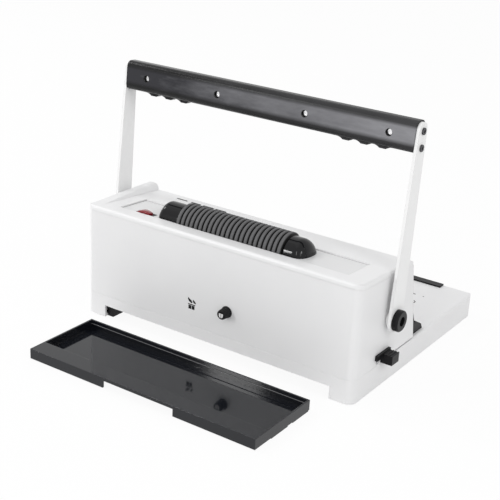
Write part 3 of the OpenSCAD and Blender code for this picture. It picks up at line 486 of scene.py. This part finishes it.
def rectangle(x0, x1, d0, d1):
    """Outline of a rectangle, as x and depth or x and z."""
    return [(x0, d0), (x1, d0), (x1, d1), (x0, d1)]


def arc_band(cx, cd, r0, r1, a0, a1, steps=14):
    """Outline of a curved band round a centre, as x and depth."""
    turns = [math.radians(a0 + (a1 - a0) * i / steps) for i in range(steps + 1)]
    outer = [(cx + r1 * math.cos(a), cd + r1 * math.sin(a)) for a in turns]
    inner = [(cx + r0 * math.cos(a), cd + r0 * math.sin(a)) for a in reversed(turns)]
    return outer + inner


# Added pieces

def cover_profile(length, r, dome_l, steps=26):
    """Places along a roller cover: distance from the ring, radius and how far the dome has
    closed, from 0 to 1. Two rings close together at each end of the straight stretch keep
    its shading straight."""
    chamfer, hold = 1.0, 0.4
    profile = [(0.0, r - chamfer, 0.0), (0.3, r - 0.3, 0.0), (chamfer, r, 0.0),
               (chamfer + hold, r, 0.0), (length - dome_l - hold, r, 0.0)]
    for i in range(steps):
        closed = math.sin(math.pi / 2 * i / steps)
        profile.append((length - dome_l + dome_l * closed, r, closed))
    return profile


def cut_at_pocket(bm):
    """Take away what lies under the floor of the lid's pocket and close the cut."""
    floor = Vector(lid_point(0, ROLLER_DEPTH, -POCKET_DEEP)) / MM
    up = Vector((0, -math.sin(LID_TILT), math.cos(LID_TILT)))
    geom = bm.verts[:] + bm.edges[:] + bm.faces[:]
    cut = bmesh.ops.bisect_plane(bm, geom=geom, plane_co=floor, plane_no=up, clear_inner=True)
    edges = [e for e in cut["geom_cut"] if isinstance(e, bmesh.types.BMEdge)]
    foot_face = bmesh.ops.holes_fill(bm, edges=edges, sides=0)["faces"]
    bmesh.ops.poke(bm, faces=foot_face)


def end_cover(name, node, x_ring, x_tip, r, dome_l, top, foot, turns=96):
    """Glossy end cover of the roller: a bar with a domed end, rounder at its top than at its
    foot, cut off at the lid. A larger power, top or foot, makes a squarer dome."""
    bm = bmesh.new()
    way = 1.0 if x_tip > x_ring else -1.0
    rings = []
    for along, radius, closed in cover_profile(abs(x_tip - x_ring), r, dome_l):
        ring = []
        for j in range(turns):
            a = 2 * math.pi * j / turns
            power = foot + (top - foot) * max(0.0, math.sin(a))
            q = radius * (1 - closed ** power) ** (1 / power)
            ring.append(vert(bm, (x_ring + way * along, ROLLER_Y + q * math.cos(a),
                                  ROLLER_Z + q * math.sin(a))))
        rings.append(ring)
    rings.append([vert(bm, (x_tip, ROLLER_Y, ROLLER_Z))])
    bm.faces.new(rings[0])
    skin(bm, rings)
    cut_at_pocket(bm)
    o = piece(name, bm, "black_gloss", "machine")
    split_edges(o, 40)
    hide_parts(node)


def end_covers():
    low, high = box_mm("roller_cover_left")
    end_cover("left_end_cover", "roller_cover_left", low[0], high[0] + 0.2,
              r=19.8, dome_l=10.0, top=2.5, foot=2.8)
    low, high = box_mm("roller_cover_right")
    end_cover("right_end_cover", "roller_cover_right", high[0], low[0] + 1.0,
              r=20.0, dome_l=15.0, top=2.0, foot=2.8)


def rear_mark():
    """Marks printed on the rear wall beside the speed knob, plain shapes that say nothing."""
    large_blot = [(32.6, 63.4), (33.0, 61.2), (31.4, 58.6), (27.4, 56.9), (26.6, 58.2),
                  (28.2, 60.6), (30.4, 61.6)]
    small_blot = [(25.6, 61.8), (26.2, 60.0), (24.8, 58.0), (22.2, 57.2), (21.8, 58.6),
                  (23.6, 60.4)]
    bar = rectangle(32.8, 22.8, 55.9, 54.7)
    left_block = rectangle(32.0, 28.0, 54.2, 49.6)
    right_block = rectangle(27.4, 23.6, 54.2, 49.6)
    bm = bmesh.new()
    for outline in (large_blot, small_blot, bar, left_block, right_block):
        wall_patch(bm, outline)
    piece("rear_mark", bm, "black_satin", "machine", "print", smooth=False)


def lid_dashes():
    """Row of dashes printed on the lid in front of the roller."""
    rear, front = 97.2, 99.8
    bm = bmesh.new()
    for x0, x1 in ((127.6, 112.0), (106.2, 92.0), (88.2, 72.3), (69.7, 54.3)):
        lid_patch(bm, rectangle(x0, x1, rear, front))
    piece("lid_dashes", bm, "black_satin", "machine", "print", smooth=False)


def table_marks():
    """Plain guide marks on the table near its side: two short bars and an arc."""
    rear, front = 249.0, 250.4
    arc_x, arc_depth = -136.6, 227.0
    bm = bmesh.new()
    for x0, x1 in ((-126.6, -130.4), (-140.4, -141.8)):
        table_patch(bm, rectangle(x0, x1, rear, front))
    table_patch(bm, arc_band(arc_x, arc_depth, 3.6, 4.6, 100, 260))
    piece("table_marks", bm, "black_satin", "machine", "print", smooth=False)


def pocket_edge_shade():
    """Fine dark line along two edges of the lid's pocket, on its floor: painted shade at the foot
    of the pocket's walls.
    """
    clear, width, height = 0.1, 0.55, 0.08
    rear = ROLLER_DEPTH - POCKET_HALF_D
    front = ROLLER_DEPTH + POCKET_HALF_D
    left = POCKET_LEFT_X - clear
    right = POCKET_RIGHT_X + clear
    inner = front - width * 0.6
    points = [(left, rear), (left, front), (right, front), (right, inner),
              (left - width, inner), (left - width, rear)]
    bm = bmesh.new()
    lid_patch(bm, points, base=-POCKET_DEEP, out=height)
    piece("pocket_edge_shade", bm, "cover", "machine", "edge_shade", smooth=False)


def tray_step():
    """Narrow step inside the tray's wall next to the machine, coloured grey as a painted highlight
    along it.
    """
    wall, overlap = 2.0, 0.2
    low, high = box_mm("chip_tray")
    x0, x1 = low[0] + wall - overlap, high[0] - wall + overlap
    y = low[1] + wall
    # Distance out of the wall and height
    profile = [(-0.3, 8.2), (0.55, 8.2), (0.75, 8.35), (0.75, 8.6), (0.5, 8.8), (-0.3, 8.9)]
    bm = bmesh.new()
    slab(bm, [(x0, y + out, z) for out, z in profile], [(x1, y + out, z) for out, z in profile])
    piece("tray_step", bm, "tray", "tray", "step", smooth=False)


def fluted_knob(cx, cz, y0, y1, r):
    """Knob with a skirt, a fluted side and a dished face."""
    turns, flutes = 192, 24
    length = y1 - y0
    # Distance from the wall, radius and depth of the flutes
    profile = [(0.0, r, 0.0), (0.5, r, 0.0), (0.9, r - 0.25, 0.0), (1.2, r - 0.45, 0.4),
               (length - 1.2, r - 1.2, 0.4), (length - 0.5, r - 1.5, 0.25),
               (length - 0.12, r - 1.9, 0.0), (length, r - 2.3, 0.0),
               (length, r - 2.9, 0.0), (length - 0.25, r - 3.1, 0.0)]
    bm = bmesh.new()
    rings = []
    for out, radius, deep in profile:
        ring = []
        for j in range(turns):
            a = 2 * math.pi * j / turns
            k = radius - deep * (0.5 - 0.5 * math.cos(flutes * a))
            ring.append(vert(bm, (cx + k * math.cos(a), y0 + out, cz + k * math.sin(a))))
        rings.append(ring)
    bm.faces.new(rings[0])
    bm.faces.new(rings[-1])
    skin(bm, rings)
    o = piece("fluted_knob", bm, "black_satin", "speed_dial")
    split_edges(o, 32)
    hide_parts("speed_knob")


def speed_pointer(cx, cz, face_y, r):
    """Pale patch on the knob's face, in two halves with the dark pointer line between."""
    line, half_w, top, shoulder = 0.4, 2.7, 1.7, -1.6
    foot = r - 3.5
    bm = bmesh.new()
    for way in (-1, 1):
        points = [(way * x, z) for x, z in ((line, top), (line, -foot), (1.4, 0.4 - foot),
                                            (half_w, shoulder), (half_w, top))]
        slab(bm, [(cx + x, face_y - 0.5, cz + z) for x, z in points],
             [(cx + x, face_y + 0.1, cz + z) for x, z in points])
    piece("speed_pointer", bm, "black_satin", "speed_dial", "mark", smooth=False)


def speed_knob():
    """The knob that replaces the source's plain one, in the same place."""
    low, high = box_mm("speed_knob")
    cx = (low[0] + high[0]) / 2
    cz = (low[2] + high[2]) / 2
    r = (high[0] - low[0]) / 2
    fluted_knob(cx, cz, low[1], high[1], r)
    speed_pointer(cx, cz, high[1], r)


def rocker():
    """Red rocker of the switch, rounded along its back and rounded off at its sides."""
    end_gap = 2.6
    rows = 28
    start, hump, rise, foot = 0.9, 2.6, 1.1, -3.2
    side_w, side_fall, edge_fall = 0.5, 0.12, 0.5
    low, high = box_mm("switch_rocker")
    x0, x1 = low[0] + end_gap, high[0]
    d0, d1 = REAR_Y - high[1], REAR_Y - low[1]
    across = ((d0, edge_fall), (d0 + side_w, side_fall), ((d0 + d1) / 2, 0.0),
              (d1 - side_w, side_fall), (d1, edge_fall))
    bm = bmesh.new()
    rings = []
    for i in range(rows + 1):
        t = i / rows
        x = x1 + (x0 - x1) * t
        swell = math.sin(math.pi * min(1.0, t * 0.94 + 0.06)) ** 0.8
        back = start - POCKET_DEEP + hump * swell + rise * t
        ring = [vert(bm, lid_point(x, d, back - fall)) for d, fall in across]
        ring += [vert(bm, lid_point(x, d, foot)) for d in (d1, d0)]
        rings.append(ring)
    skin(bm, rings)
    bm.faces.new(rings[0])
    bm.faces.new(rings[-1])
    o = piece("rocker_key", bm, "red", "switch_button")
    split_edges(o, 50)
    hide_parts("switch_rocker")


# Stage, light and camera, in metres

# FLOOR_WHITE is the share of plain white in the floor where it is seen as background, and
# WORLD_LIGHT is the strength at which the world lights the object
FLOOR_SIZE = 30.0
FLOOR_Z = -0.0004
FLOOR_WHITE = 0.93
WORLD_LIGHT = 0.70
WHITE = (1, 1, 1, 1)

# Camera of the photo, fitted to the machine's edges
EYE = Vector((-0.66676, 1.01546, 0.58984))
AHEAD = Vector((0.51357, -0.77343, -0.37155)).normalized()
RIGHT = Vector((-0.82165, -0.56807, 0.04681))
LENS = 81.44
SENSOR = 36.0

# Name, place, height over the origin that the lamp points at, size and watts
LAMPS = (
    ("key", (-2.1, 1.0, 1.3), 0.10, (0.7, 0.7), 2.5),
    ("top", (0.3, 0.2, 2.4), 0.10, (1.6, 1.2), 1.5),
    ("left_panel", (1.07, 1.79, 0.98), 0.14, (0.16, 0.46), 8),
    ("upper_left_panel", (1.52, 0.24, 1.54), 0.14, (0.34, 0.34), 6),
    ("right_lamp", (-1.66, 0.43, 1.32), 0.14, (0.36, 0.36), 4),
    ("right_panel", (-0.42, 1.75, 1.42), 0.14, (0.30, 0.80), 4),
    ("side_panel", (2.3, -0.7, 0.7), 0.14, (0.5, 0.7), 4),
)


def background_rays(nt):
    """One for camera rays, mirror rays and rays through glass, which see the background."""
    lp = nt.nodes.new("ShaderNodeLightPath")
    seen = math_node(nt, "MAXIMUM", lp.outputs["Is Camera Ray"], lp.outputs["Is Glossy Ray"])
    return math_node(nt, "MAXIMUM", seen, lp.outputs["Is Transmission Ray"])


def make_camera():
    data = bpy.data.cameras.new("camera")
    cam = bpy.data.objects.new("camera", data)
    bpy.context.scene.collection.objects.link(cam)
    data.sensor_width = SENSOR
    data.lens = LENS
    data.clip_start, data.clip_end = 0.05, 60.0
    right = (RIGHT - AHEAD * RIGHT.dot(AHEAD)).normalized()
    up = right.cross(AHEAD)
    rot = Matrix((right, up, -AHEAD)).transposed()
    cam.matrix_world = Matrix.Translation(EYE) @ rot.to_4x4()
    bpy.context.scene.camera = cam


def background(nt, strength):
    bg = nt.nodes.new("ShaderNodeBackground")
    bg.inputs["Color"].default_value = WHITE
    bg.inputs["Strength"].default_value = strength
    return bg.outputs["Background"]


def make_world():
    """White where it is seen, and dimmer as a light on the object."""
    w = bpy.data.worlds.new("studio")
    bpy.context.scene.world = w
    w.use_nodes = True
    nt = w.node_tree
    nt.nodes.clear()
    out = nt.nodes.new("ShaderNodeOutputWorld")
    lit, seen = background(nt, WORLD_LIGHT), background(nt, 1.0)
    link(nt, mix_shaders(nt, background_rays(nt), lit, seen), out.inputs["Surface"])


def white_where_seen(nt, shader):
    """Rays that see the background see white; a share of the lit shader keeps the shadow."""
    em = nt.nodes.new("ShaderNodeEmission")
    em.inputs["Color"].default_value = WHITE
    em.inputs["Strength"].default_value = 1.0
    share = math_node(nt, "MULTIPLY", background_rays(nt), FLOOR_WHITE)
    return mix_shaders(nt, share, shader, em.outputs["Emission"])


def make_floor():
    bpy.ops.mesh.primitive_plane_add(size=FLOOR_SIZE, location=(0, 0, FLOOR_Z))
    floor = bpy.context.object
    floor.name = "floor"
    m, nt, out = new_material("floor_white")
    bsdf = nt.nodes.new("ShaderNodeBsdfPrincipled")
    bsdf.inputs["Roughness"].default_value = 0.8
    bsdf.inputs["Specular IOR Level"].default_value = 0.1
    clouds = noise(nt, coords(nt), 3.0)
    link(nt, ramp(nt, clouds, [(0.3, (0.90, 0.90, 0.90)), (0.7, (0.92, 0.92, 0.92))]),
         bsdf.inputs["Base Color"])
    link(nt, white_where_seen(nt, bsdf.outputs["BSDF"]), out.inputs["Surface"])
    floor.data.materials.append(m)


def make_lamp(name, place, aim_z, size, power):
    """Rectangular lamp that points at a height over the origin and that the camera can't see."""
    data = bpy.data.lights.new(name, "AREA")
    data.shape = "RECTANGLE"
    data.size, data.size_y = size
    data.energy = power
    o = bpy.data.objects.new(name, data)
    o.location = place
    o.visible_camera = False
    ahead = Vector((0, 0, aim_z)) - Vector(place)
    o.rotation_euler = ahead.to_track_quat("-Z", "Y").to_euler()
    bpy.context.scene.collection.objects.link(o)


dress_nodes()
end_covers()
rear_mark()
lid_dashes()
table_marks()
pocket_edge_shade()
tray_step()
speed_knob()
rocker()
make_camera()
make_world()
make_floor()
for lamp in LAMPS:
    make_lamp(*lamp)
bpy.context.scene.view_settings.view_transform = "Standard"

bpy.context.view_layer.update()
